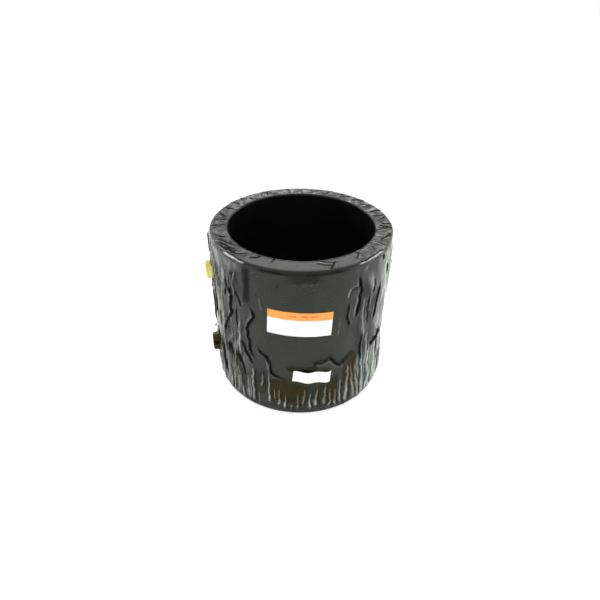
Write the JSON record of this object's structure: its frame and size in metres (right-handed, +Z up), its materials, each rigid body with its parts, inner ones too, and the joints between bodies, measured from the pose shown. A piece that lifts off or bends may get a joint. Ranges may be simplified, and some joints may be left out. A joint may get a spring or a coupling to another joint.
{
  "type": "electrofusion pipe coupling",
  "caption": "Thick plain sleeve with a pipe socket at each end, two capped side terminals and shrink film, used to join plastic pipes by fusion.",
  "frame": {"origin": "middle of the bore at half length, inside the centre stop", "axes": "+Z up along the bore towards the upper socket's mouth; both terminals point along -X"},
  "size_m": [0.2196, 0.2114, 0.2032],
  "materials": {
    "black_polyethylene": "smooth moulded, low sheen",
    "resistance_wire": "drawn wire",
    "contact_brass": "turned, bright",
    "shroud_plastic": "fine moulded",
    "yellow_cap_plastic": "smooth moulded, soft gloss",
    "indicator_plastic": "moulded",
    "clear_film": "clear shrink film, wrinkled, glossy",
    "label_stock": "coated paper, orange band over white",
    "lot_label_stock": "coated paper, white"
  },
  "bodies": {
    "sleeve": {"coupling_body": "black_polyethylene", "heating_coil_upper": "resistance_wire", "heating_coil_lower": "resistance_wire", "link_wire": "resistance_wire", "contact_pin_upper": "contact_brass", "contact_pin_lower": "contact_brass", "terminal_shroud_upper": "shroud_plastic", "terminal_shroud_lower": "shroud_plastic", "film_wrap": "clear_film", "main_label": "label_stock", "lot_label": "lot_label_stock"},
    "cap_upper": {"terminal_cap_upper": "yellow_cap_plastic"},
    "cap_lower": {"terminal_cap_lower": "yellow_cap_plastic"},
    "indicator_upper": {"fusion_indicator_upper": "indicator_plastic"},
    "indicator_lower": {"fusion_indicator_lower": "indicator_plastic"}
  },
  "joints": [
    {"name": "cap_upper_pull", "type": "slide", "parent": "sleeve", "child": "cap_upper", "axis": [-1, 0, 0], "range_m": [0, 0.035]},
    {"name": "cap_lower_pull", "type": "slide", "parent": "sleeve", "child": "cap_lower", "axis": [-1, 0, 0], "range_m": [0, 0.035]},
    {"name": "indicator_upper_rise", "type": "slide", "parent": "sleeve", "child": "indicator_upper", "axis": [-1, 0, 0], "range_m": [0, 0.004]},
    {"name": "indicator_lower_rise", "type": "slide", "parent": "sleeve", "child": "indicator_lower", "axis": [-1, 0, 0], "range_m": [0, 0.004]}
  ]
}
